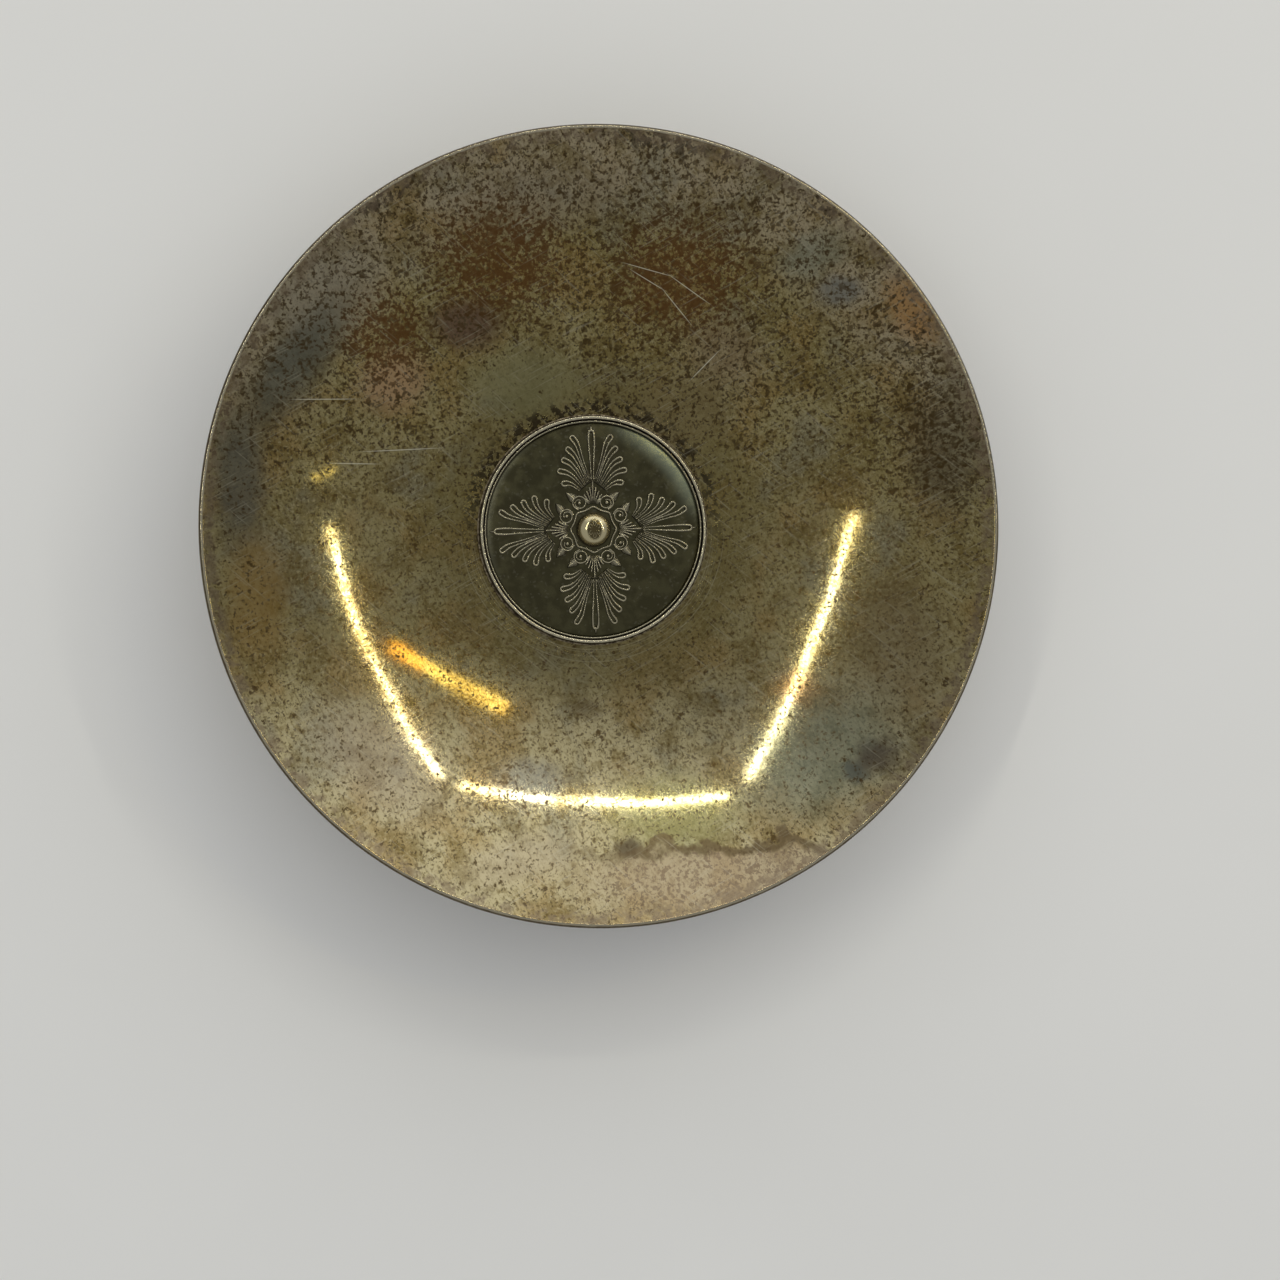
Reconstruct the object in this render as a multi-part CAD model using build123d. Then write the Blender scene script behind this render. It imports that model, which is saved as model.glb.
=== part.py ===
from build123d import *
from math import atan2, cos, hypot, radians, sin, sqrt
import os

# A shallow footed dish in sheet silver with a round ornamental medallion soldered to its middle.
# The origin is on the table, on the dish's axis, and +Z points up out of the dish. Millimetres.

# The dish as a whole
rim_diameter = 116.0
dish_height = 21.0
sheet_thickness = 0.9

# The medallion's plate, which decides how large the flat seat in the bowl is
medallion_diameter = 34.0
plate_thickness = 1.0
seat_gap = 0.3  # between the plate's edge and the start of the curved wall
plate_seam_leg = 0.25  # solder in that gap

# The ring foot, soldered to the underside of the seat
foot_height = 3.3
foot_neck_wall = 1.2
foot_flare = 0.8  # how far the base stands out past the neck
foot_base_height = 1.1
foot_hollow_share = 0.36  # how far the flare's hollow keeps to the neck and the base
foot_edge_round = 0.25
foot_seam_leg = 0.35
foot_seam_margin = 0.05  # flat left between the seam and the start of the curved wall

# The two wires round the plate
border_wire_width = 0.6
border_wire_height = 0.45
inner_wire_width = 0.3
inner_wire_height = 0.28
inner_wire_draft = 0.07  # how far each side leans in
wire_spacing = 0.1  # groove between the two wires

# The boss and its frame
boss_diameter = 5.2
boss_collar_height = 0.5
boss_dome_height = 1.4
boss_recess = 0.25  # dark gap between the boss and the middle of each side of its frame
frame_wire_width = 0.3
frame_wire_height = 0.5
frame_sides = 8
side_hollow = 0.12  # how far each side curves in from straight

# One calyx: a pointed leaf between two scrolls, each of which carries a small pointed horn
ornament_gap = 0.12  # between one ornament and the next
calyx_height = 0.65
leaf_length = 3.6
leaf_shoulder_width = 2.7
leaf_shoulder_share = 0.42  # share of the leaf's length at which it is widest
leaf_base_width = 2.1
scroll_radius = 1.2
scroll_wire_width = 0.3
scroll_step = 0.3  # how much smaller each half turn is than the one before
scroll_half_turns = 3
scroll_aside = 2.05  # from the arm's axis to a scroll's centre
horn_reach = 2.5  # from the scroll's centre to the horn's tip
horn_width = 0.65
horn_angle = 51.0  # degrees away from the arm

# One palmette: a spear with curling lobes on each side, which leave a sloping root line
spear_margin = 0.4  # between the spear's tip and the inner wire
palmette_height = 0.6
spear_half_width = 0.62
lobe_count = 5  # on each side
root_pitch = 0.4  # from one lobe's root to the next
root_slope = 33.0  # degrees by which the root line falls away from the spear
root_half_width = 0.23
lobe_half_width = 0.5
lobe_rim = 0.22  # width of the raised line round each hollow
first_lobe_angle = 22.0  # degrees away from the spear, from root to tip
lobe_angle_step = 17.5
first_lobe_share = 0.88  # reach as a share of the palmette's own length
lobe_share_step = 0.085
lobe_belly = 0.6  # share of its reach at which a lobe bends over
root_rise = 0.3  # from the palmette's foot up to the root line

# Levels and radii that follow from the sizes above
rim_radius = rim_diameter / 2
medallion_radius = medallion_diameter / 2
seat_radius = medallion_radius + seat_gap
seat_level = foot_height + sheet_thickness
plate_level = seat_level + plate_thickness
edge_radius = sheet_thickness / 2
inner_wire_outer_radius = medallion_radius - border_wire_width - wire_spacing
inner_wire_inner_radius = inner_wire_outer_radius - inner_wire_width
foot_neck_radius = seat_radius - foot_seam_leg - foot_seam_margin
foot_inner_radius = foot_neck_radius - foot_neck_wall
boss_radius = boss_diameter / 2
frame_inner_radius = boss_radius + boss_recess
frame_side_radius = frame_inner_radius + frame_wire_width
frame_corner_radius = (frame_side_radius + side_hollow) / cos(radians(180 / frame_sides))
calyx_base_radius = frame_corner_radius + ornament_gap
calyx_tip_radius = calyx_base_radius + leaf_length
scroll_centre_radius = frame_side_radius + ornament_gap + scroll_radius
palmette_root_radius = calyx_tip_radius + ornament_gap
spear_tip_radius = inner_wire_inner_radius - spear_margin
palmette_length = spear_tip_radius - palmette_root_radius
arms = {"north": 0, "west": 90, "south": 180, "east": 270}  # degrees round from +Y

# The middle of the bowl's sheet is flat as far as the seat and then part of a sphere, which
# passes through the seat's edge and the middle of the rim's rounded edge.
edge_centre_radius = rim_radius - edge_radius
edge_centre_level = dish_height - edge_radius
sheet_middle_level = foot_height + edge_radius
bowl_rise = edge_centre_level - sheet_middle_level
centre_above_seat = (edge_centre_radius**2 + bowl_rise**2 - seat_radius**2) / (2 * bowl_rise)
bowl_centre_level = sheet_middle_level + centre_above_seat
bowl_middle_radius = hypot(seat_radius, centre_above_seat)
bowl_inner_radius = bowl_middle_radius - edge_radius
bowl_outer_radius = bowl_middle_radius + edge_radius
rim_angle = atan2(edge_centre_radius, bowl_centre_level - edge_centre_level)


def on_sphere(radius, angle):
    """The point of the section at an angle from the downward axis, on a sphere of the bowl."""
    return (radius * sin(angle), bowl_centre_level - radius * cos(angle))


def seat_angle(radius, level):
    """The angle at which a sphere of the bowl meets a flat of the seat."""
    height = bowl_centre_level - level
    return atan2(sqrt(radius**2 - height**2), height)


def turned(*edges):
    """A solid of revolution about the dish's axis, from its closed half section."""
    section = Plane.XZ * make_face(edges)
    return revolve(section, Axis.Z)


def rounded_band(inner_radius, width, base, height):
    """A wire ring on a flat: a band whose top is rounded over, as half-round wire is."""
    outer_radius = inner_radius + width
    shoulder_level = base + height - width / 2
    left_foot = (inner_radius, base)
    right_foot = (outer_radius, base)
    left_shoulder = (inner_radius, shoulder_level)
    right_shoulder = (outer_radius, shoulder_level)
    crest = (inner_radius + width / 2, base + height)
    return turned(
        Line(left_foot, right_foot),
        Line(right_foot, right_shoulder),
        ThreePointArc(right_shoulder, crest, left_shoulder),
        Line(left_shoulder, left_foot),
    )


def seam(radius, level, outwards, upwards):
    """A three-sided solder seam in the corner at one radius and level."""
    corner = (radius, level)
    return turned(Polyline(corner, (radius + outwards, level), (radius, level + upwards), close=True))


def bowl():
    """Sheet silver bowl: flat seat, spherical wall and a rim filed to a half round."""
    inner_start = seat_angle(bowl_inner_radius, seat_level)
    outer_start = seat_angle(bowl_outer_radius, foot_height)
    inner_corner = on_sphere(bowl_inner_radius, inner_start)
    outer_corner = on_sphere(bowl_outer_radius, outer_start)
    inner_top = on_sphere(bowl_inner_radius, rim_angle)
    outer_top = on_sphere(bowl_outer_radius, rim_angle)
    inner_half = on_sphere(bowl_inner_radius, (inner_start + rim_angle) / 2)
    outer_half = on_sphere(bowl_outer_radius, (outer_start + rim_angle) / 2)
    edge_tip = (
        edge_centre_radius + edge_radius * cos(rim_angle),
        edge_centre_level + edge_radius * sin(rim_angle),
    )
    return turned(
        Line((0, foot_height), (0, seat_level)),
        Line((0, seat_level), inner_corner),
        ThreePointArc(inner_corner, inner_half, inner_top),
        ThreePointArc(inner_top, edge_tip, outer_top),
        ThreePointArc(outer_top, outer_half, outer_corner),
        Line(outer_corner, (0, foot_height)),
    )


def foot_ring():
    """Ring foot: a plain neck that flares to a rounded base, soldered to the flat of the seat."""
    base_radius = foot_neck_radius + foot_flare
    neck_level = foot_height - foot_seam_leg
    base_top = (base_radius, foot_base_height)
    neck_foot = (foot_neck_radius, neck_level)
    hollow_radius = foot_neck_radius + foot_flare * foot_hollow_share
    hollow_level = foot_base_height + (neck_level - foot_base_height) * foot_hollow_share
    ring = turned(
        Line((foot_inner_radius, 0), (base_radius, 0)),
        Line((base_radius, 0), base_top),
        ThreePointArc(base_top, (hollow_radius, hollow_level), neck_foot),
        Line(neck_foot, (foot_neck_radius, foot_height)),
        Line((foot_neck_radius, foot_height), (foot_inner_radius, foot_height)),
        Line((foot_inner_radius, foot_height), (foot_inner_radius, 0)),
    )
    low_edges = ring.edges().group_by(Axis.Z)[0]
    return fillet(low_edges, foot_edge_round)


def foot_solder_seam():
    """Solder in the corners where the foot's neck meets the seat, outside and inside."""
    outside = seam(foot_neck_radius, foot_height, foot_seam_leg, -foot_seam_leg)
    inside = seam(foot_inner_radius, foot_height, -foot_seam_leg, -foot_seam_leg)
    return [outside, inside]


def medallion_disc():
    """The medallion's round plate, which lies on the seat and carries the ornament."""
    return Pos(0, 0, seat_level) * extrude(Circle(medallion_radius), plate_thickness)


def medallion_solder_seam():
    """Solder in the corner between the plate's edge and the seat."""
    return seam(medallion_radius, seat_level, plate_seam_leg, plate_seam_leg)


def border_wire():
    """The bright bead round the plate, flush with its edge."""
    inner_radius = medallion_radius - border_wire_width
    return rounded_band(inner_radius, border_wire_width, plate_level, border_wire_height)


def inner_wire():
    """The thin wire inside the bead, with sloping sides and a groove between the two."""
    base = [inner_wire_inner_radius, inner_wire_outer_radius]
    crest = [base[0] + inner_wire_draft, base[1] - inner_wire_draft]
    top_level = plate_level + inner_wire_height
    corners = [(base[0], plate_level), (base[1], plate_level), (crest[1], top_level), (crest[0], top_level)]
    return turned(Polyline(*corners, close=True))


def polar(radius, angle):
    """A point at a radius, and at an angle in degrees clockwise from +Y."""
    return (radius * sin(radians(angle)), radius * cos(radians(angle)))


def hollow_sided(side_radius):
    """A regular polygon whose sides curve in as far as the given radius, with a corner on +Y."""
    step = 360 / frame_sides
    corner_radius = (side_radius + side_hollow) / cos(radians(step / 2))
    arcs = []
    for number in range(frame_sides):
        start = number * step
        middle = polar(side_radius, start + step / 2)
        arcs.append(ThreePointArc(polar(corner_radius, start), middle, polar(corner_radius, start + step)))
    return make_face(arcs)


def boss_frame():
    """The thin eight-sided wire round the boss, each side curving in towards it."""
    outline = hollow_sided(frame_side_radius) - hollow_sided(frame_inner_radius)
    return Pos(0, 0, plate_level) * extrude(outline, frame_wire_height)


def centre_boss():
    """The polished boss: a low collar under a shallow dome."""
    collar_level = plate_level + boss_collar_height
    crest = (0, collar_level + boss_dome_height)
    shoulder = (boss_radius, collar_level)
    dome_radius = (boss_radius**2 + boss_dome_height**2) / (2 * boss_dome_height)
    half_angle = atan2(boss_radius, dome_radius - boss_dome_height) / 2
    drop = dome_radius * (1 - cos(half_angle))
    haunch = (dome_radius * sin(half_angle), crest[1] - drop)
    return turned(
        Line((0, plate_level), (boss_radius, plate_level)),
        Line((boss_radius, plate_level), shoulder),
        ThreePointArc(shoulder, haunch, crest),
        Line(crest, (0, plate_level)),
    )


def horn(centre, side):
    """A small pointed leaf that starts on a scroll and leans away from the arm."""
    heading = Vector(*polar(1, side * horn_angle))
    across = heading.rotate(Axis.Z, 90) * (horn_width / 2)
    base = centre + heading * (scroll_radius - scroll_wire_width)
    tip = centre + heading * horn_reach
    middle = (base + tip) / 2
    return make_face([ThreePointArc(base, middle + across, tip), ThreePointArc(tip, middle - across, base)])


def scroll(side):
    """A flat spiral of half turns, each smaller than the last, round a solid eye."""
    radius = scroll_radius - scroll_wire_width / 2
    centre = 0.0
    half = 1
    arcs = []
    for _ in range(scroll_half_turns):
        start = (centre + half * radius, 0)
        crest = (centre, half * radius)
        end = (centre - half * radius, 0)
        arcs.append(ThreePointArc(start, crest, end))
        centre -= half * scroll_step
        radius -= scroll_step
        half = -half
    eye = Pos(centre, 0) * Circle(radius + scroll_wire_width / 2)
    spiral = Rot(0, 0, 90 - horn_angle) * (trace(arcs, scroll_wire_width) + eye)
    return spiral if side == 1 else mirror(spiral, Plane.YZ)


def calyx():
    """The northern calyx: its leaf, its two scrolls and their two horns, cast in one."""
    shoulder_radius = calyx_base_radius + leaf_length * leaf_shoulder_share
    half_outline = [
        (leaf_base_width / 2, calyx_base_radius),
        (leaf_shoulder_width / 2, shoulder_radius),
        (0, calyx_tip_radius),
    ]
    outline = make_face(Polyline(*half_outline, *[(-x, y) for x, y in half_outline[1::-1]], close=True))
    for side in (-1, 1):
        centre = Vector(side * scroll_aside, sqrt(scroll_centre_radius**2 - scroll_aside**2))
        outline += [Pos(centre) * scroll(side), horn(centre, side)]
    return Pos(0, 0, plate_level) * extrude(outline, calyx_height)


def curling_drop(root, bend, head, root_half, head_half):
    """A drop with a round head, narrowing along a bent axis back to its root."""
    first = (bend - root).normalized()
    last = (head - bend).normalized()
    middle = (head - root).normalized()
    sides = []
    for turn in (90, -90):
        foot = root + first.rotate(Axis.Z, turn) * root_half
        knee = bend + middle.rotate(Axis.Z, turn) * (root_half + head_half) / 2
        cheek = head + last.rotate(Axis.Z, turn) * head_half
        sides.append(Bezier(foot, knee, cheek))
    left, right = sides
    crown = ThreePointArc(left @ 1, head + last * head_half, right @ 1)
    return make_face([left, crown, right, Line(right @ 0, left @ 0)])


def lobe(number, side):
    """The outline and the hollow of one curling lobe, counted outwards from the spear."""
    slope = radians(root_slope)
    aside = number * root_pitch
    root_level = palmette_root_radius + root_rise - aside * sin(slope)
    root = Vector(side * aside * cos(slope), root_level)
    angle = first_lobe_angle + (number - 1) * lobe_angle_step
    reach = palmette_length * (first_lobe_share - (number - 1) * lobe_share_step)
    centre = Vector(0, palmette_root_radius)
    heading = Vector(*polar(1, side * angle))
    head = centre + heading * (reach - lobe_half_width)
    bend = root + Vector(*polar((head - root).length * lobe_belly, side * angle / 3))
    outline = curling_drop(root, bend, head, root_half_width, lobe_half_width)
    start = root + (bend - root) * lobe_belly
    hollow = curling_drop(start, bend, head, root_half_width / 4, lobe_half_width - lobe_rim)
    return outline, hollow


def spear():
    """The outline and the hollow of the straight middle lobe."""
    root = Vector(0, palmette_root_radius)
    waist = Vector(0, (palmette_root_radius + spear_tip_radius) / 2)
    head = Vector(0, spear_tip_radius - spear_half_width)
    outline = curling_drop(root, waist, head, root_half_width, spear_half_width)
    hollow = curling_drop(waist, (waist + head) / 2, head, root_half_width / 4, spear_half_width - lobe_rim)
    return outline, hollow


def palmette():
    """The northern palmette, cast in one: a spear and its lobes, each hollowed out."""
    shapes = [spear()]
    for side in (-1, 1):
        shapes += [lobe(number, side) for number in range(1, lobe_count + 1)]
    outlines = [outline for outline, _ in shapes]
    hollows = [hollow for _, hollow in shapes]
    face = outlines[0] + outlines[1:] - hollows
    return Pos(0, 0, plate_level) * extrude(face, palmette_height)


def write(name, pieces):
    """Writes one piece, or a list of pieces that belong to one name, as a STEP file."""
    solids = [solid for piece in pieces for solid in piece.solids()]
    export_step(solids[0] if len(solids) == 1 else Compound(children=solids), f"parts/{name}.step")


os.makedirs("parts", exist_ok=True)
write("bowl", [bowl()])
write("foot_ring", [foot_ring()])
write("foot_solder_seam", foot_solder_seam())
write("medallion_disc", [medallion_disc()])
write("medallion_solder_seam", [medallion_solder_seam()])
write("border_wire", [border_wire()])
write("inner_wire", [inner_wire()])
write("boss_frame", [boss_frame()])
write("centre_boss", [centre_boss()])
north_calyx = calyx()
north_palmette = palmette()
for arm, turn in arms.items():
    write(f"calyx_{arm}", [Rot(0, 0, turn) * north_calyx])
    write(f"palmette_{arm}", [Rot(0, 0, turn) * north_palmette])
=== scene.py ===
# %% Load the fixed frame
import math

import bpy
from mathutils import Matrix, Vector


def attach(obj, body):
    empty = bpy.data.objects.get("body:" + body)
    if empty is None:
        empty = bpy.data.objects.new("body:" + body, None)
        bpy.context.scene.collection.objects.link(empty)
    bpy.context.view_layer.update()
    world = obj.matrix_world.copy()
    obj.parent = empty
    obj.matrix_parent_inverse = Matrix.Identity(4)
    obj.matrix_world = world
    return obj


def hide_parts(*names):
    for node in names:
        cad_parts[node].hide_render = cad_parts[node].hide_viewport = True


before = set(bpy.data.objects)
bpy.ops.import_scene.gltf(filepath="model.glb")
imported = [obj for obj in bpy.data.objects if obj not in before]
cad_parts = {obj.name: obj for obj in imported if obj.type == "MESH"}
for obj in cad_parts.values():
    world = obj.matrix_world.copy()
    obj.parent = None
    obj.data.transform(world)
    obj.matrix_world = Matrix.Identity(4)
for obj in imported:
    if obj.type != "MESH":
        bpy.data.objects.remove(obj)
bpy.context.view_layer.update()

# %% [markdown]
# The object is a shallow footed dish in sheet silver with a cast, applied medallion. The CAD model fixes
# its sizes. Silversmiths measure in millimetres and Blender in metres, so every length below is written
# in millimetres and turned into metres where a tool needs it. These are the levels that the pieces share.

# %% Sizes that the pieces share
MM = 0.001
RIM_RADIUS = 58.0
SHEET = 0.9
FOOT_LEVEL = 3.3
SEAT_LEVEL = 4.2
PLATE_LEVEL = 5.2
PLATE_RADIUS = 17.0
SEAT_RADIUS = 17.3
RIM_LEVEL = 21.0
ARMS = {"north": 0, "west": 90, "south": 180, "east": 270}
print("nodes to stand in for:", sorted(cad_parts))

# %% [markdown]
# Round silver is raised or spun on a lathe, so the bowl, the foot, the plate, the wires and the boss are
# all made the same way here: one point is extruded along half of the cross section, and the section is
# then spun about the dish's axis. A spin leaves doubled points on the axis, which are merged before the
# normals are worked out again. A modifier could turn the section too, but the spin gives a plain mesh.

# %% Lathe helper
def lathe(name, section, steps=256):
    """Turns a closed half section of (radius, level) points about the dish's axis."""
    bpy.ops.object.select_all(action="DESELECT")
    bpy.ops.mesh.primitive_plane_add(size=MM)
    turned = bpy.context.object
    turned.name = name
    bpy.ops.object.mode_set(mode="EDIT")
    bpy.ops.mesh.merge(type="CENTER")
    radius, level = section[0]
    bpy.ops.transform.translate(value=(radius * MM, 0, level * MM))
    for (r0, z0), (r1, z1) in zip(section, section[1:] + section[:1]):
        step = ((r1 - r0) * MM, 0, (z1 - z0) * MM)
        bpy.ops.mesh.extrude_region_move(TRANSFORM_OT_translate={"value": step})
    bpy.ops.mesh.select_all(action="SELECT")
    bpy.ops.mesh.remove_doubles(threshold=1e-6)
    bpy.ops.mesh.spin(steps=steps, angle=2 * math.pi, center=(0, 0, 0), axis=(0, 0, 1))
    bpy.ops.mesh.select_all(action="SELECT")
    bpy.ops.mesh.remove_doubles(threshold=1e-6)
    bpy.ops.mesh.normals_make_consistent(inside=False)
    bpy.ops.object.mode_set(mode="OBJECT")
    bpy.ops.object.shade_smooth_by_angle(angle=math.radians(35))
    print(name, "has", len(turned.data.polygons), "faces")
    return turned


def arc(centre, radius, start, end, steps):
    """Points on an arc of the section, at angles in degrees from the outward direction."""
    points = []
    for number in range(steps + 1):
        angle = math.radians(start + (end - start) * number / steps)
        points.append((centre[0] + radius * math.cos(angle), centre[1] + radius * math.sin(angle)))
    return points


# %% [markdown]
# The bowl is one sheet. Its middle is a flat seat, and its wall is part of a sphere that passes through
# the edge of the seat and the middle of the rim. The rim is filed to a half round. The two faces of the
# sheet are two arcs about one centre, which is found from the seat, the rim and the sheet's thickness.

# %% The bowl's section
FLAT_RING = 8.0
edge = SHEET / 2
rim_centre = (RIM_RADIUS - edge, RIM_LEVEL - edge)
middle_level = FOOT_LEVEL + edge
rise = rim_centre[1] - middle_level
drop = (rim_centre[0] ** 2 + rise**2 - SEAT_RADIUS**2) / (2 * rise)
bowl_centre = (0.0, middle_level + drop)
bowl_radius = math.hypot(SEAT_RADIUS, drop)
rim_lean = math.degrees(math.atan2(rim_centre[0], bowl_centre[1] - rim_centre[1]))


def seat_angle(radius, level):
    """Degrees below the outward direction at which a face of the wall meets a flat of the seat."""
    return -math.degrees(math.asin((bowl_centre[1] - level) / radius))


outer, inner = bowl_radius + edge, bowl_radius - edge
bowl_section = [(0.0, FOOT_LEVEL), (FLAT_RING, FOOT_LEVEL)]
bowl_section += arc(bowl_centre, outer, seat_angle(outer, FOOT_LEVEL), rim_lean - 90, 40)
bowl_section += arc(rim_centre, edge, rim_lean - 90, rim_lean + 90, 12)[1:-1]
bowl_section += arc(bowl_centre, inner, rim_lean - 90, seat_angle(inner, SEAT_LEVEL), 60)
bowl_section += [(FLAT_RING, SEAT_LEVEL), (0.0, SEAT_LEVEL)]
bowl = lathe("bowl_sheet", bowl_section, steps=288)
print("wall radius", round(bowl_radius, 2), "lean at the rim", round(rim_lean, 2), "degrees")

# %% [markdown]
# A hand-raised bowl is never quite a sphere: planishing leaves broad shallow waves, which show as bends
# in the reflections. The wall between the seat and the rim is pushed in and out by a few hundredths of a
# millimetre with a displace modifier and a cloud texture. A vertex group keeps the rim and seat true.

# %% Waves from planishing
def fade(value, low, high):
    """Rises smoothly from 0 at low to 1 at high."""
    share = min(1.0, max(0.0, (value - low) / (high - low)))
    return share * share * (3 - 2 * share)


wall = bowl.vertex_groups.new(name="wall")
for vertex in bowl.data.vertices:
    reach = math.hypot(vertex.co.x, vertex.co.y) / MM
    wall.add([vertex.index], fade(reach, 18, 26) * (1 - fade(reach, 52, 56)), "REPLACE")
waves = bpy.data.textures.new("planishing_waves", "CLOUDS")
waves.noise_scale = 22 * MM
waves.noise_depth = 1
planish = bowl.modifiers.new("planishing", "DISPLACE")
planish.texture = waves
planish.direction = "Z"
planish.mid_level = 0.5
planish.strength = 0.07 * MM
planish.vertex_group = "wall"
bpy.ops.object.modifier_apply(modifier="planishing")
print("bowl waved, lowest point", round(min(v.co.z for v in bowl.data.vertices) / MM, 3), "mm")

# %% [markdown]
# The foot is a ring of thicker wire, drawn to a plain neck with a hollow flare and a rounded base. It is
# soldered under the seat, and the solder fills both corners with a small concave fillet.

# %% Foot ring and its solder
NECK_RADIUS = 16.9
FOOT_INNER = 15.7
FOOT_OUTER = 17.7
FOOT_SEAM = 0.35
FOOT_ROUND, ROUND_MIDDLE = 0.25, 0.07
foot_section = [(FOOT_INNER, FOOT_ROUND), (FOOT_INNER + ROUND_MIDDLE, ROUND_MIDDLE)]
foot_section += [(FOOT_INNER + FOOT_ROUND, 0.0), (FOOT_OUTER - FOOT_ROUND, 0.0)]
foot_section += [(FOOT_OUTER - ROUND_MIDDLE, ROUND_MIDDLE), (FOOT_OUTER, FOOT_ROUND), (FOOT_OUTER, 1.0)]
foot_section += [(FOOT_OUTER - 0.06, 1.12), (FOOT_OUTER - 0.3, 1.4)]
foot_section += [(NECK_RADIUS + 0.28, 1.85), (NECK_RADIUS + 0.1, 2.4), (NECK_RADIUS, FOOT_LEVEL - FOOT_SEAM)]
foot_section += [(NECK_RADIUS, FOOT_LEVEL), (FOOT_INNER, FOOT_LEVEL)]
foot = lathe("foot_ring_turned", foot_section)

HOLLOW = [(1, 0), (0.45, 0.12), (0.12, 0.45), (0, 1)]


def solder(name, radius, level, outwards, upwards):
    """A small concave fillet in the corner at one radius and level."""
    hollow = [(radius + outwards * x, level + upwards * y) for x, y in HOLLOW]
    return lathe(name, [(radius, level)] + hollow, steps=192)


def join(name, pieces):
    """Joins several meshes into one piece."""
    bpy.ops.object.select_all(action="DESELECT")
    for piece in pieces:
        piece.select_set(True)
    bpy.context.view_layer.objects.active = pieces[0]
    bpy.ops.object.join()
    pieces[0].name = name
    return pieces[0]


foot_solder = join("foot_solder", [
    solder("foot_solder_outside", NECK_RADIUS, FOOT_LEVEL, FOOT_SEAM, -FOOT_SEAM),
    solder("foot_solder_inside", FOOT_INNER, FOOT_LEVEL, -FOOT_SEAM, -FOOT_SEAM)])

# %% [markdown]
# The medallion's plate is a round casting whose field falls away near its border, as a cushion does, which
# is why the field catches a pale crescent there; the crescent is also painted on, as a painted sheen. Its
# edge is soldered to the seat. Round it lie a rounded bead, flush with the edge, and inside the bead a
# groove and a thin wire.

# %% Plate, plate solder and the two wires
FIELD_FLAT = 11.5
FIELD_END = 16.05
FIELD_FALL = 0.55
FALL_STEPS = 12
BEAD_INNER = 16.4
WIRE_INNER, WIRE_OUTER = 16.0, 16.3
PLATE_EDGE = 0.1
PLATE_SEAM = 0.25


def field_level(radius):
    """The level of the plate's field, which falls away from a flat middle."""
    share = max(0.0, (radius - FIELD_FLAT) / (FIELD_END - FIELD_FLAT))
    return PLATE_LEVEL - FIELD_FALL * share * share


def wire(name, inside, outside, bottom, shoulder, centre, steps):
    """A wire with straight sides up to a shoulder and a round top about a centre at some level."""
    half = (outside - inside) / 2
    top = arc((inside + half, centre), half, 160, 20, steps)
    return lathe(name, [(inside, bottom), (inside, shoulder), *top, (outside, shoulder), (outside, bottom)])


plate_section = [(0.0, SEAT_LEVEL), (PLATE_RADIUS - PLATE_EDGE, SEAT_LEVEL)]
plate_section += [(PLATE_RADIUS, SEAT_LEVEL + PLATE_EDGE), (PLATE_RADIUS, PLATE_LEVEL - PLATE_EDGE)]
plate_section += [(PLATE_RADIUS - PLATE_EDGE, PLATE_LEVEL), (BEAD_INNER, PLATE_LEVEL - PLATE_EDGE)]
plate_section += [(WIRE_OUTER, PLATE_LEVEL - 0.4)]
for number in range(FALL_STEPS + 1):
    radius = FIELD_END - (FIELD_END - FIELD_FLAT) * number / FALL_STEPS
    plate_section.append((radius, field_level(radius)))
plate_section += [(4.0, PLATE_LEVEL), (0.0, PLATE_LEVEL)]
plate = lathe("medallion_plate", plate_section)
plate_solder = solder("plate_solder", PLATE_RADIUS, SEAT_LEVEL, PLATE_SEAM, PLATE_SEAM)
bead = wire("border_bead", BEAD_INNER, PLATE_RADIUS, 4.9, 5.35, 5.35, steps=8)
thin_wire = wire("inner_thin_wire", WIRE_INNER, WIRE_OUTER, 4.6, 5.12, 5.14, steps=6)

# %% [markdown]
# The boss is a turned and polished button: a straight collar with a rounded shoulder, and on it a dome
# that is a little fuller than an ellipse.

# %% Boss
BOSS_RADIUS = 2.6
BOSS_BOTTOM, BOSS_TOP = 5.1, 7.1
DOME_FOOT, DOME_RISE, DOME_STEPS = 5.62, 1.48, 16
boss_section = [(0.0, BOSS_BOTTOM), (BOSS_RADIUS, BOSS_BOTTOM), (BOSS_RADIUS, 5.45)]
boss_section += [(BOSS_RADIUS - 0.04, 5.55), (BOSS_RADIUS - 0.14, 5.6)]
for number in range(DOME_STEPS):
    turn = math.radians(90 * number / DOME_STEPS)
    reach = BOSS_RADIUS * math.cos(turn) ** 0.9 * 0.955
    boss_section.append((reach, DOME_FOOT + DOME_RISE * math.sin(turn)))
boss_section.append((0.0, BOSS_TOP))
boss = lathe("polished_boss", boss_section, steps=128)

# %% [markdown]
# The ornament is cast, and its design is drawn in raised lines. A caster's wax model is built up from
# strands of wax wire, and so is this one: each strand is a smooth NURBS curve with a round bevel, thick
# where the line is strong and thin at its ends. The strands are turned into a mesh, fused by a voxel
# remesh as wax strands are with a warm tool, and smoothed a little, which fills the corners as the
# mould does.

# %% Strand helper
def polar(radius, angle):
    """A point at a radius, and at an angle in degrees clockwise from +Y."""
    return Vector((radius * math.sin(math.radians(angle)), radius * math.cos(math.radians(angle))))


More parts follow.
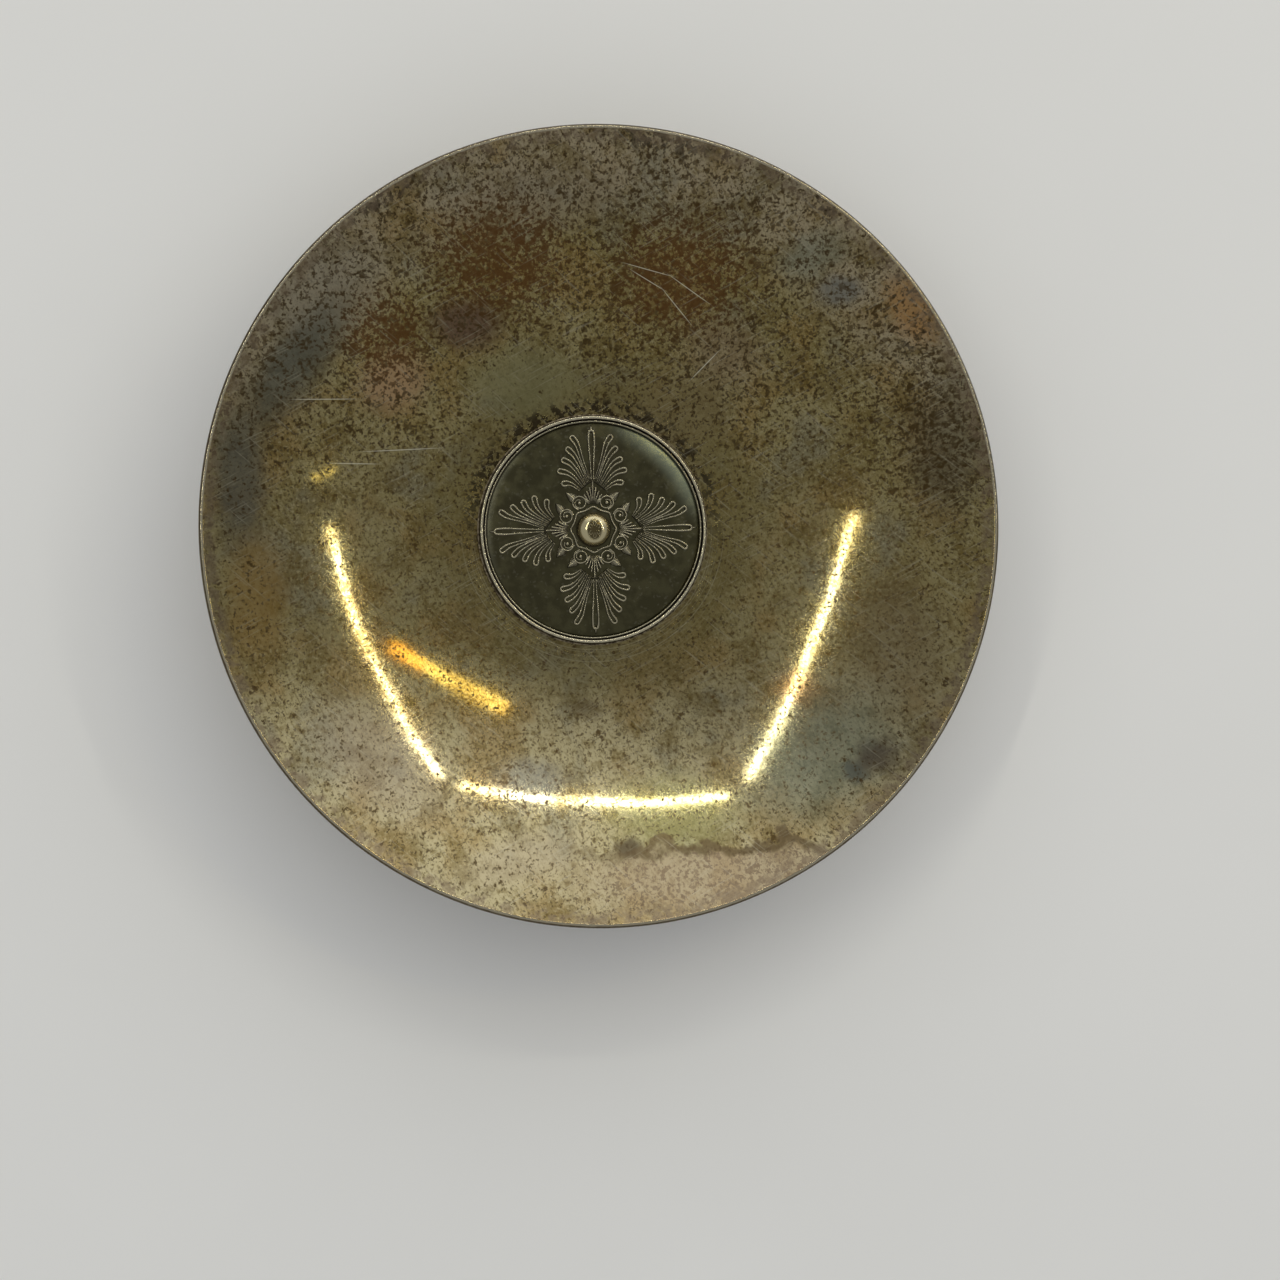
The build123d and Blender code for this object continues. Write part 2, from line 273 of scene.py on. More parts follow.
def casting(name, strands, voxel, balls=(), smoothing=3):
    """Fuses strands of (x, y, level, half thickness) points, and balls, into one cast piece."""
    bpy.ops.object.select_all(action="DESELECT")
    bpy.ops.curve.primitive_nurbs_path_add()
    drawn = bpy.context.object
    drawn.data.splines.clear()
    drawn.data.dimensions = "3D"
    drawn.data.bevel_depth = MM
    drawn.data.bevel_resolution = 3
    drawn.data.use_fill_caps = True
    for closed, points in strands:
        spline = drawn.data.splines.new("NURBS")
        spline.points.add(len(points) - 1)
        for point, (x, y, level, half) in zip(spline.points, points):
            level += field_level(math.hypot(x, y)) - PLATE_LEVEL
            point.co = (x * MM, y * MM, level * MM, 1)
            point.radius = half
        spline.use_cyclic_u = closed
        spline.use_endpoint_u = not closed
        spline.order_u = 3
        spline.resolution_u = 6
    bpy.ops.object.convert(target="MESH")
    parts = [bpy.context.object]
    for x, y, level, radius in balls:
        bpy.ops.mesh.primitive_uv_sphere_add(
            segments=20, ring_count=12, radius=radius * MM, location=(x * MM, y * MM, level * MM))
        parts.append(bpy.context.object)
    piece = join(name, parts)
    bpy.ops.object.transform_apply(location=True, rotation=True, scale=True)
    fuse = piece.modifiers.new("fuse", "REMESH")
    fuse.mode = "VOXEL"
    fuse.voxel_size = voxel * MM
    bpy.ops.object.modifier_apply(modifier="fuse")
    soften = piece.modifiers.new("soften", "SMOOTH")
    soften.factor = 0.5
    soften.iterations = smoothing
    bpy.ops.object.modifier_apply(modifier="soften")
    bpy.ops.object.shade_smooth()
    print(name, "has", len(piece.data.polygons), "faces, top at",
          round(max(v.co.z for v in piece.data.vertices) / MM, 2), "mm")
    return piece


# %% [markdown]
# The boss carries a small device in low relief. A plain rosette of six petals inside an oval ring stands
# for it here. Its strands follow the dome, sunk to half their thickness, and are joined to the boss.

# %% Rosette on the boss
DOME_RADIUS = 2.5
DEVICE_WIDTH = 0.7
DEVICE_RING = 1.55
PETAL = [(0.25, 0), (0.7, 17), (1.1, 17), (1.32, 0), (1.1, -17), (0.7, -17), (0.25, 0)]
PETAL_HALF, RING_HALF = 0.07, 0.085


def dome_level(radius):
    """The level of the boss's dome."""
    return DOME_FOOT + DOME_RISE * math.sqrt(max(0.0, 1 - (radius / DOME_RADIUS) ** 2))


def on_dome(radius, angle):
    """A point of the device, which is narrower than it is tall, with its level on the dome."""
    spot = polar(radius, angle)
    spot.x *= DEVICE_WIDTH
    return (*spot, dome_level(spot.length))


rosette_strands = [(True, [(*on_dome(DEVICE_RING, 30 * n), RING_HALF) for n in range(12)])]
for number in range(6):
    petal = [(*on_dome(reach, 60 * number + aside), PETAL_HALF) for reach, aside in PETAL]
    rosette_strands.append((False, petal))
rosette = casting("boss_rosette", rosette_strands, 0.045, [(0, 0, 7.02, 0.2)], smoothing=1)
boss = join("polished_boss", [boss, rosette])
for corner in boss.data.vertices:
    corner.co.z = min(corner.co.z, BOSS_TOP * MM)

# %% [markdown]
# A thin wire with eight sides, each curving in towards the boss, frames the boss.

# %% Boss frame
FRAME_LINE, FRAME_CORNER = (5.44, 0.17), (5.46, 0.18)
frame_strand = []
for number in range(8):
    at = 45 * number
    frame_strand.append((*polar(3.34, at - 5), *FRAME_LINE))
    frame_strand.append((*polar(3.42, at), *FRAME_CORNER))
    frame_strand.append((*polar(3.34, at + 5), *FRAME_LINE))
    frame_strand.append((*polar(3.02, at + 22.5), *FRAME_LINE))
boss_frame = casting("boss_frame_wire", [(True, frame_strand)], 0.05, smoothing=2)

# %% [markdown]
# A palmette has a straight spear in the middle and five lobes on each side, whose heads curl away from
# the spear. Each one is a loop of raised line, like a hairpin, round a dark hollow. The loops start on a
# root line that falls away on both sides. A loop's line runs out along one side of a bent axis, round
# the head and back, so the helper is given the axis and how far the line stands off it on the way.

# %% Palmette loops
def loop(axis, widths, level, half):
    """One hairpin: out along one side of an axis, round the head and back along the other side."""
    sides = {1: [], -1: []}
    last = len(axis) - 1
    for number, (place, width) in enumerate(zip(axis, widths)):
        ahead = (axis[min(number + 1, last)] - axis[max(number - 1, 0)]).normalized()
        share = number / last
        for side, run in sides.items():
            spot = place + side * width * Vector((-ahead.y, ahead.x))
            run.append((*spot, level - 0.04 * (1 - share), half * (0.5 + 0.5 * share)))
    heading = (axis[last] - axis[last - 1]).normalized()
    across = Vector((-heading.y, heading.x))
    brow = axis[last] + heading * widths[last] * 0.85
    brows = [brow + side * across * widths[last] * 0.75 for side in (1, -1)]
    crown = axis[last] + heading * widths[last] * 1.15
    round_head = [(*brows[0], level, half), (*crown, level, half), (*brows[1], level, half)]
    return sides[1] + round_head + sides[-1][::-1]


LOBES = [
    [(0.42, 7.45), (1.15, 9.3), (1.75, 11.3), (2.15, 12.75), (2.8, 13.65)],
    [(0.78, 7.05), (1.4, 8.5), (2.05, 10.0), (2.7, 11.2), (3.5, 11.95)],
    [(1.14, 6.7), (1.8, 7.85), (2.5, 9.0), (3.25, 9.9), (4.15, 10.35)],
    [(1.5, 6.3), (2.2, 7.2), (2.95, 8.0), (3.8, 8.55), (4.75, 8.75)],
    [(1.85, 5.9), (2.45, 6.35), (3.05, 6.75), (3.6, 6.95), (4.2, 6.92)],
]
LOBE_WIDTHS = [0.11, 0.15, 0.21, 0.29, 0.37]
SPEAR = [(0, 7.4), (0, 9.5), (0, 11.6), (0, 13.2), (0, 14.35)]
SPEAR_WIDTHS = [0.15, 0.24, 0.36, 0.46, 0.4]
SPEAR_TIP = [(0, 14.6, 5.45, 0.2), (0, 15.1, 5.42, 0.16), (0, 15.58, 5.36, 0.08)]
ROOT_LINE = [(-2.0, 5.9, 0.16), (-1.0, 6.75, 0.18), (0, 7.4, 0.18), (1.0, 6.75, 0.18), (2.0, 5.9, 0.16)]
ROOT_LEVEL = 5.26
palmette_strands = [(False, loop([Vector(p) for p in SPEAR], SPEAR_WIDTHS, 5.47, 0.19)), (False, SPEAR_TIP)]
for side in (-1, 1):
    for lobe in LOBES:
        axis = [Vector((side * x, y)) for x, y in lobe]
        palmette_strands.append((False, loop(axis, LOBE_WIDTHS, 5.46, 0.17)))
palmette_strands.append((False, [(x, y, ROOT_LEVEL, half) for x, y, half in ROOT_LINE]))
palmette = casting("palmette_north", palmette_strands, 0.045, smoothing=3)

# %% [markdown]
# A calyx stands between the boss and each palmette: a pointed, ribbed leaf between two scrolls, each
# with a small pointed horn. The ribs are strands that lie side by side and meet at the tip. A scroll is
# one strand wound inwards, with a round pip in its eye.

# %% Calyx
def fan(base, shoulder, tip, base_half, shoulder_half, ribs, half, level):
    """Ribs side by side from a base, widest at a shoulder, which meet at a tip."""
    along = (tip - base).normalized()
    across = Vector((-along.y, along.x))
    strands = []
    for number in range(ribs):
        place = 2 * number / (ribs - 1) - 1
        crown = level - 0.1 * abs(place)
        start, middle = base + across * base_half * place, shoulder + across * shoulder_half * place
        late = middle + 0.55 * (tip - middle) + across * 0.06 * place
        rib = [(start, crown - 0.05, half), ((start + middle) * 0.5, crown, half), (middle, crown, half),
               (late, crown, half * 0.75), (tip, crown - 0.02, half * 0.4)]
        strands.append((False, [(*spot, height, thick) for spot, height, thick in rib]))
    return strands


LEAF_FOOT = 3.85
LEAF_POINTS = [(0, 7.15), (0.5, 6.3), (0.95, 5.75), (1.35, 5.2), (1.15, 4.55)]
SCROLL_ASIDE, SCROLL_UP = 2.05, 3.98
SCROLL_RADIUS, SCROLL_TIGHTENS = 1.05, 0.075
SPIRAL_START, SPIRAL_TURN, SPIRAL_STEPS = -81, 40, 15
HORN_HEADING = 51
calyx_strands = fan(Vector((0, LEAF_FOOT)), Vector((0, 5.0)), Vector((0, 6.9)), 0.6, 0.9, 5, 0.26, 5.14)
for number, (x, y) in enumerate(LEAF_POINTS):
    for side in ((-1, 1) if x else (1,)):
        foot_at = (side * 0.17 * number, LEAF_FOOT - 0.03 * number)
        waist = (side * (0.3 * x + 0.12 * number), LEAF_FOOT + 0.55 * (y - LEAF_FOOT))
        leaf_rib = [(*foot_at, 5.36, 0.08), (*waist, 5.5, 0.13), (side * x, y, 5.47, 0.14)]
        calyx_strands.append((False, leaf_rib))
calyx_balls = []
for side in (-1, 1):
    centre = Vector((side * SCROLL_ASIDE, SCROLL_UP))
    spiral = []
    for step in range(SPIRAL_STEPS):
        turn = math.radians(SPIRAL_START + step * SPIRAL_TURN)
        radius = SCROLL_RADIUS - SCROLL_TIGHTENS * max(0, step - 6)
        spot = centre + radius * Vector((side * math.cos(turn), math.sin(turn)))
        spiral.append((*spot, 5.52 - 0.008 * step, 0.12))
    calyx_strands.append((False, spiral))
    calyx_balls.append((*centre, 5.42, 0.31))
    heading = polar(1, side * HORN_HEADING)
    horn = [centre + reach * heading for reach in (0.95, 1.45, 2.55)]
    calyx_strands += fan(*horn, 0.62, 0.5, 5, 0.15, 5.44)
calyx = casting("calyx_north", calyx_strands, 0.045, calyx_balls, smoothing=2)

# %% [markdown]
# The design repeats on four arms. The caster would use one mould four times, so the north pieces are
# copied, each with its own mesh, turned about the dish's axis, and the turn is applied.

# %% The other three arms
def turned_copy(piece, name, angle):
    """A copy with its own mesh, turned about the dish's axis, with the turn applied."""
    bpy.ops.object.select_all(action="DESELECT")
    copy = piece.copy()
    copy.data = piece.data.copy()
    copy.name = name
    bpy.context.scene.collection.objects.link(copy)
    copy.rotation_euler.z = math.radians(angle)
    copy.select_set(True)
    bpy.context.view_layer.objects.active = copy
    bpy.ops.object.transform_apply(location=False, rotation=True, scale=False)
    return copy


ornament = {"palmette_north": palmette, "calyx_north": calyx}
for arm, angle in list(ARMS.items())[1:]:
    ornament[f"palmette_{arm}"] = turned_copy(palmette, f"palmette_{arm}_cast", angle)
    ornament[f"calyx_{arm}"] = turned_copy(calyx, f"calyx_{arm}_cast", angle)
palmette.name, calyx.name = "palmette_north_cast", "calyx_north_cast"
print(len(ornament), "cast pieces")

# %% [markdown]
# Every finish here is a procedural node material. Patterns are laid out in millimetres on the dish, read
# from the Object coordinates, so a stain can be put where the tarnish has it. A finish starts as one
# colour, and further colours are laid over it, each where a mask is. The small helper below adds nodes one
# after another and hands back their outputs, which keeps each finish short to read.

# %% Finish helper
def feed(tree, node, inputs):
    """Links the inputs that are given a socket, and sets those that are given a value."""
    for key, value in inputs.items():
        if isinstance(value, bpy.types.NodeSocket):
            tree.links.new(value, node.inputs[key])
        else:
            node.inputs[key].default_value = value


def add_node(tree, kind, inputs, **settings):
    """Adds a shader node with these settings and inputs."""
    made = tree.nodes.new("ShaderNode" + kind)
    for key, value in settings.items():
        setattr(made, key, value)
    feed(tree, made, inputs)
    return made


def smooth_rise(tree, value, low, high, bottom, top):
    """Rises smoothly from bottom to top as the value goes from low to high."""
    inputs = {"Value": value, "From Min": low, "From Max": high, "To Min": bottom, "To Max": top}
    return add_node(tree, "MapRange", inputs, interpolation_type="SMOOTHSTEP").outputs[0]


class Finish:
    """A material that is built up node by node, with the place on the piece in millimetres."""

    def __init__(self, name, tint, flat=False):
        self.material = bpy.data.materials.new(name)
        self.material.use_nodes = True
        self.tree = self.material.node_tree
        self.shader = self.tree.nodes["Principled BSDF"]
        self.film = (*tint, 1)
        place = self.node("TexCoord", {}).outputs["Object"]
        self.mm = self.node("VectorMath", {0: place, "Scale": 1 / MM}, operation="SCALE").outputs[0]
        self.x, self.y, self.z = self.node("SeparateXYZ", {0: self.mm}).outputs
        self.plan = self.node("CombineXYZ", {0: self.x, 1: self.y}).outputs[0]
        self.radius = self.length(self.plan)
        self.place, self.kind = (self.plan, "2D") if flat else (self.mm, "3D")

    def node(self, kind, inputs, **settings):
        return add_node(self.tree, kind, inputs, **settings)

    def math(self, operation, first, second=0.0, clamp=False):
        return self.node("Math", {0: first, 1: second}, operation=operation, use_clamp=clamp).outputs[0]

    def vector(self, operation, first, second):
        return self.node("VectorMath", {0: first, 1: second}, operation=operation).outputs[0]

    def length(self, vector):
        return self.node("VectorMath", {0: vector}, operation="LENGTH").outputs["Value"]

    def times(self, first, *others):
        for other in others:
            first = self.math("MULTIPLY", first, other)
        return first

    def strongest(self, *masks):
        first = masks[0]
        for other in masks[1:]:
            first = self.math("MAXIMUM", first, other)
        return first

    def rise(self, value, low, high, bottom=0.0, top=1.0):
        return smooth_rise(self.tree, value, low, high, bottom, top)

    def noise(self, size, detail=3.0, roughness=0.5, at=None, shift=0.0):
        """Cloudy noise, from 0 to 1, whose features are about this many millimetres across."""
        moved = self.vector("ADD", at or self.place, (shift, 2 * shift, 0))
        inputs = {"Vector": moved, "Scale": 1 / size, "Detail": detail, "Roughness": roughness}
        return self.node("TexNoise", inputs, noise_dimensions=self.kind).outputs[0]

    def warp(self, size, amount, shift=0.0):
        """The place, pushed about by noise, which makes edges ragged."""
        moved = self.vector("ADD", self.place, (shift, shift, 0))
        inputs = {"Vector": moved, "Scale": 1 / size, "Detail": 2.0}
        push = self.node("TexNoise", inputs, noise_dimensions=self.kind).outputs["Color"]
        push = self.vector("SUBTRACT", push, (0.5, 0.5, 0.5))
        push = self.node("VectorMath", {0: push, "Scale": 2.0 * amount}, operation="SCALE").outputs[0]
        return self.vector("ADD", self.plan, push)

    def stretched(self, turn, along, across):
        """The place, turned by some degrees and drawn out, so that noise on it runs in one direction."""
        inputs = {"Vector": self.plan, "Rotation": (0, 0, math.radians(turn)), "Scale": (along, across, 1)}
        return self.node("Mapping", inputs, vector_type="TEXTURE").outputs[0]

    def cells(self, size, at):
        """A random number, from 0 to 1, for each angular cell of about this size."""
        made = self.node("TexVoronoi", {"Vector": at, "Scale": 1 / size}, voronoi_dimensions="2D")
        return self.node("SeparateColor", {0: made.outputs["Color"]}).outputs[0]

    def spot(self, x, y, wide, tall=None, turn=0.0, soft=0.6, at=None):
        """1 inside a soft ellipse with these half sizes, turned by some degrees, and 0 outside."""
        inputs = {"Vector": at or self.plan, "Location": (x, y, 0), "Rotation": (0, 0, math.radians(turn)),
                  "Scale": (wide, tall or wide, 1)}
        placed = self.node("Mapping", inputs, vector_type="TEXTURE").outputs[0]
        away = self.length(self.vector("MULTIPLY", placed, (1, 1, 0)))
        return self.rise(away, 1 + soft, 1 - soft)

    def scratch(self, start, end, half=0.06):
        """1 along a straight scratch between two places."""
        (x0, y0), (x1, y1) = start, end
        turn = math.degrees(math.atan2(y1 - y0, x1 - x0))
        reach = math.hypot(x1 - x0, y1 - y0) / 2
        return self.spot((x0 + x1) / 2, (y0 + y1) / 2, reach, half, turn, soft=0.4)

    def blend(self, amount, below, above):
        """Mixes two colours; the sockets 0, 6 and 7 are the mix node's factor and its two colours."""
        return self.node("Mix", {0: amount, 6: below, 7: above}, data_type="RGBA").outputs[2]

    def lay(self, tint, mask, strength=None):
        """Lays one more colour over the film where the mask is, at some strength."""
        amount = mask if strength is None else self.times(mask, strength)
        self.film = self.blend(amount, self.film, (*tint, 1))

    def relief(self, height, distance):
        """Small unevenness of the surface, whose full height is this many millimetres."""
        bump = self.node("Bump", {"Height": height, "Distance": distance * MM, "Strength": 1.0})
        feed(self.tree, self.shader, {"Normal": bump.outputs[0]})

    def finish(self, roughness, metallic=1.0):
        """Puts the film and the roughness on the surface."""
        feed(self.tree, self.shader, {"Base Color": self.film, "Roughness": roughness, "Metallic": metallic})
        print(self.material.name, "has", len(self.tree.nodes), "nodes")
        return self.material


# %% [markdown]
# The sheet is silver under years of uneven tarnish: an olive-gold film in clouds, angular dark flecks
# that crowd its upper half, brown and violet clusters, a smooth blue-grey band, a brown tide line low
# down, a broken crust round the medallion and a rim that handling has kept bright, painted brighter
# still as a painted highlight. Light and shade are painted in too: the lower half is lighter, partly a
# thinner film and partly a painted reflection of a bright room; a grey band along the upper rim is a
# painted reflection; the middle and two patches on the east and west walls are darker, painted
# reflections of a dark room; and the rim's outer side carries a painted shade. Each is one layer,
# blended over the last, from the broadest to the finest.

# %% Tarnished sheet
sheet = Finish("tarnished_silver", (0.245, 0.2, 0.085), flat=True)
ragged = sheet.warp(2.2, 0.9)
tight = sheet.warp(0.6, 0.3, shift=40.0)
clouds = sheet.noise(24, 2, 0.55)
warmth = sheet.noise(13, 3, 0.6, shift=90.0)
patches = sheet.noise(6.5, 4, 0.6, shift=11.0)
mottle = sheet.noise(1.7, 4, 0.62, shift=23.0)
brushed = sheet.noise(0.55, 3, 0.7, at=sheet.stretched(-62, 3.2, 0.8), shift=7.0)
speckle = sheet.noise(0.6, 4, 0.75, shift=31.0)
# The lower half is painted lighter: partly a thinner film, partly a painted reflection of a bright room.
lower_film_and_reflection = sheet.rise(sheet.math("ADD", sheet.y, sheet.times(clouds, 30.0)), 6, -24)
# The grey band along the upper rim is a painted reflection.
upper_rim_reflection = sheet.times(sheet.rise(sheet.radius, 42, 52), sheet.rise(sheet.y, 0, 30))
sheet.lay((0.3, 0.252, 0.116), sheet.rise(clouds, 0.36, 0.64))
sheet.lay((0.41, 0.355, 0.205), lower_film_and_reflection, 0.8)
sheet.lay((0.36, 0.3, 0.2), upper_rim_reflection, 0.75)
sheet.lay((0.26, 0.172, 0.058), sheet.rise(warmth, 0.48, 0.66, 0.0, 0.6))
sheet.lay((0.19, 0.18, 0.125), sheet.rise(warmth, 0.44, 0.3, 0.0, 0.5))
sheet.lay((0.15, 0.11, 0.038), sheet.rise(patches, 0.48, 0.66, 0.0, 0.6))
sheet.lay((0.13, 0.088, 0.02), sheet.rise(mottle, 0.52, 0.7, 0.0, 0.5))
sheet.lay((0.11, 0.077, 0.016), sheet.rise(brushed, 0.52, 0.68, 0.0, 0.45))
sheet.lay((0.075, 0.045, 0.009), sheet.rise(speckle, 0.56, 0.63, 0.0, 0.7))
sheet.lay((0.4, 0.345, 0.2), sheet.rise(speckle, 0.43, 0.34, 0.0, 0.5))
# The middle, within 29 mm of the axis, is painted darker: a painted reflection of a dark room overhead.
sheet.lay((0.135, 0.11, 0.042), sheet.rise(sheet.radius, 29, 20), 0.5)

STAINS_AND_PAINTED_REFLECTIONS = [
    # x, y, half width, half height, turn, strength, colour
    (-10, 22, 8, 5, 0, 0.6, (0.19, 0.18, 0.085)),
    (-38.8, 34, 8, 6, 40, 0.6, (0.27, 0.245, 0.18)),
    (-44, 24, 11, 3.6, 52, 0.8, (0.1, 0.1, 0.075)),
    # The next patch, on the west wall, is painted shade: a dark reflection painted into the colour.
    (-52, 7, 3.5, 9, 0, 0.75, (0.1, 0.098, 0.078)),
    (-29.4, 22.2, 4.6, 3.8, 20, 0.9, (0.38, 0.25, 0.13)),
    (-18.6, 30.5, 5, 3.4, 0, 0.75, (0.10, 0.062, 0.05)),
    (32, 39, 4.5, 3, 30, 0.6, (0.22, 0.23, 0.165)),
    (36, 34, 3, 2, 0, 0.65, (0.15, 0.16, 0.15)),
    (46, 30.5, 5, 2.5, -60, 0.75, (0.36, 0.2, 0.075)),
    # The next patch, on the east wall, is painted shade: a dark reflection painted into the colour.
    (51, 11, 5, 10, 0, 0.55, (0.095, 0.085, 0.065)),
    (-50, -8, 4, 7, 0, 0.65, (0.27, 0.17, 0.05)),
    (32, -34, 11, 7, 35, 0.5, (0.2, 0.235, 0.175)),
    (10, -42, 9, 5, 0, 0.45, (0.29, 0.29, 0.11)),
    (29, -24, 3, 2.5, 0, 0.6, (0.27, 0.155, 0.065)),
    (-11, -37, 5, 3, 0, 0.5, (0.2, 0.205, 0.19)),
    (3, -47, 2.2, 1.4, 0, 0.8, (0.06, 0.042, 0.025)),
    (-13, -48, 8, 3, 12, 0.5, (0.37, 0.31, 0.2)),
    (14, 18, 9, 6, 30, 0.4, (0.2, 0.155, 0.08)),
    (-33, -33, 10, 6, -40, 0.4, (0.3, 0.245, 0.18)),
    (44, -18, 6, 9, 10, 0.45, (0.17, 0.13, 0.07)),
    (20, 26, 6, 4, -30, 0.4, (0.27, 0.2, 0.13)),
    (-8, 48, 12, 4, 6, 0.4, (0.23, 0.19, 0.13)),
    (39.5, -34.5, 3, 2.2, 30, 0.75, (0.07, 0.05, 0.038)),
    (36.3, -36.6, 1.6, 1.5, 0, 0.75, (0.09, 0.1, 0.085)),
    (-2, -26.7, 2.4, 1.4, 0, 0.5, (0.1, 0.07, 0.03)),
    (-28.8, -18, 3.4, 1.8, -35, 0.6, (0.32, 0.15, 0.035)),
]
for x, y, wide, tall, turn, strength, tint in STAINS_AND_PAINTED_REFLECTIONS:
    sheet.lay(tint, sheet.spot(x, y, wide, tall, turn, at=ragged), strength)
print(len(STAINS_AND_PAINTED_REFLECTIONS), "stains laid")

# %% [markdown]
# Flecks come in torn blots and in small angular plates. The blots are the peaks of rough noise, and the
# plates are the cells of a Voronoi pattern whose random number is high enough. The limit is lower where
# flecks crowd.

# %% Flecks
CROWDS = [
    # x, y, half width, half height, turn, how much denser the flecks are
    (-13.5, 39.5, 9, 7, 0, 0.38),
    (-30.5, 28.5, 6, 5, 30, 0.32),
    (13, 37, 10, 8, 0, 0.34),
    (51, 11, 8, 10, 0, 0.24),
    (-10, 22, 9, 5, 0, -0.3),
    (-16, -39, 6, 4, 0, 0.16),
    (16, -51, 16, 3.5, 6, 0.2),
]
REDDISH = [(-13.5, 39.5, 10, 8), (13, 37, 10, 8), (-30.5, 28.5, 6)]
crowd = sheet.rise(sheet.math("ADD", sheet.y, sheet.times(warmth, 26.0)), 10, 38, 0.0, 0.17)
for x, y, wide, tall, turn, extra in CROWDS:
    crowd = sheet.math("ADD", crowd, sheet.times(sheet.spot(x, y, wide, tall, turn, at=ragged), extra))


def crowded(pattern, share, low, high):
    """1 where a pattern passes a limit, which is lower where flecks crowd."""
    return sheet.rise(sheet.math("ADD", pattern, sheet.times(crowd, share)), low, high)


torn = crowded(sheet.noise(0.85, 5, 0.7, shift=71.0), 0.24, 0.61, 0.645)
blots = crowded(sheet.noise(2.2, 5, 0.7, shift=83.0), 0.2, 0.655, 0.68)
plates = crowded(sheet.cells(0.55, tight), 0.45, 0.99, 1.02)
fine = crowded(sheet.cells(0.3, tight), 0.3, 0.93, 0.97)
coarse = sheet.strongest(torn, blots, sheet.times(plates, 0.75))
reddish = sheet.strongest(*[sheet.spot(*place) for place in REDDISH])
fleck_tint = sheet.blend(reddish, (0.055, 0.033, 0.01, 1), (0.09, 0.04, 0.011, 1))
sheet.lay((0.075, 0.054, 0.024), fine, 0.75)
sheet.film = sheet.blend(sheet.times(coarse, 0.88), sheet.film, fleck_tint)
sheet.lay((0.2, 0.11, 0.04), reddish, 0.12)

# %% [markdown]
# Dirt has dried where a cloth doesn't reach: in a broken crust round the medallion, in blocks along the
# rim, and in a wavy tide line that once was the edge of a puddle.

# %% Crust and tide line
lumps = sheet.rise(sheet.noise(1.3, 4, 0.65, shift=61.0), 0.49, 0.54)
ring = sheet.times(sheet.rise(sheet.radius, 17.2, 17.5), sheet.rise(sheet.radius, 20.6, 18.6))
upper = sheet.rise(sheet.y, -6, 10, 0.25, 1.0)
RIM_BLOCKS = [
    # x, y, half width, half height, turn
    (10, 55.5, 9, 1.6, -10), (33, 46, 2.5, 1.4, -38), (46.5, 27, 1.2, 3, -25), (-30, 48, 6, 1.0, 32),
]
rim_blocks = sheet.strongest(*[sheet.spot(*block, at=ragged) for block in RIM_BLOCKS])
crust = sheet.strongest(sheet.times(ring, lumps, upper), sheet.times(rim_blocks, lumps, 0.8))
shore = sheet.math("ADD", sheet.y, sheet.times(sheet.noise(8, 4, 0.6, shift=3.0), 8.0))
line = sheet.times(sheet.rise(shore, -44.5, -43.4), sheet.rise(shore, -42.0, -42.8))
tide = sheet.times(line, sheet.spot(17, -47, 19, 6))
below_tide = sheet.times(sheet.rise(shore, -43.2, -44.2), sheet.spot(17, -51, 20, 6))
sheet.lay((0.30, 0.225, 0.15), below_tide, 0.5)
sheet.lay((0.1, 0.07, 0.036), tide, 0.85)
sheet.lay((0.03, 0.022, 0.012), crust, 0.9)

# %% [markdown]
# Polishing leaves fine turned lines near the medallion, and long use leaves scratches. A scratch cuts
# through the film, so it is lighter and brighter than what is round it. Most are too small to place, and
# come from noise that is stretched one way and cut off near its peaks; a few long ones are placed.

# %% Scratches and turned lines
def streaks(turn, size, low, high):
    """Thin lines in one direction, where stretched noise comes near its peaks."""
    return sheet.rise(sheet.noise(size, 2, 0.5, at=sheet.stretched(turn, 9.0, 0.28)), low, high)


LONG_SCRATCHES = [
    ((-44, 19.4), (-35, 19.6)), ((-34, 12.0), (-23, 12.5)), ((-39, 10.3), (-32, 10.2)), ((6, 38), (11, 35)),
    ((10.6, 35.3), (15, 30)), ((5, 39), (12, 37)), ((11.6, 37.2), (17.5, 33)), ((15, 22), (19, 26)),
]
hairlines = sheet.strongest(streaks(28, 0.9, 0.66, 0.74), streaks(-41, 1.1, 0.67, 0.75))
long_ones = sheet.strongest(*[sheet.scratch(*ends) for ends in LONG_SCRATCHES])
turn_lines = sheet.node("TexNoise", {"W": sheet.times(sheet.radius, 5.0), "Scale": 1.0, "Detail": 2.0},
                        noise_dimensions="1D").outputs[0]
near_plate = sheet.times(sheet.rise(sheet.radius, 27, 19), sheet.rise(sheet.y, 4, -8))
sheet.lay((0.36, 0.33, 0.22), sheet.times(sheet.rise(turn_lines, 0.55, 0.7), near_plate), 0.35)
sheet.lay((0.4, 0.37, 0.27), hairlines, 0.3)
sheet.lay((0.6, 0.57, 0.46), long_ones, 0.75)

# %% [markdown]
# The rim is worn bright on its crest and painted brighter there as a painted highlight, and its outer side
# is painted dark as a painted shade. Just inside it the film is browner, because fingers leave it there.

# %% Rim, roughness and relief of the sheet
finger_band = sheet.times(sheet.rise(sheet.radius, 55.0, 56.5), sheet.rise(mottle, 0.4, 0.55))
crest_reach = sheet.math("ADD", sheet.radius, sheet.times(mottle, 0.2))
crest = sheet.times(sheet.rise(crest_reach, 57.45, 57.55), sheet.rise(crest_reach, 57.85, 57.75))
crest_wear_and_highlight = sheet.times(crest, sheet.rise(sheet.z, 20.2, 20.5))
sheet.lay((0.19, 0.145, 0.095), finger_band, 0.55)
# The rim's outer side is painted dark: a painted shade.
sheet.lay((0.07, 0.055, 0.035), sheet.rise(sheet.radius, 57.6, 57.75), 0.8)
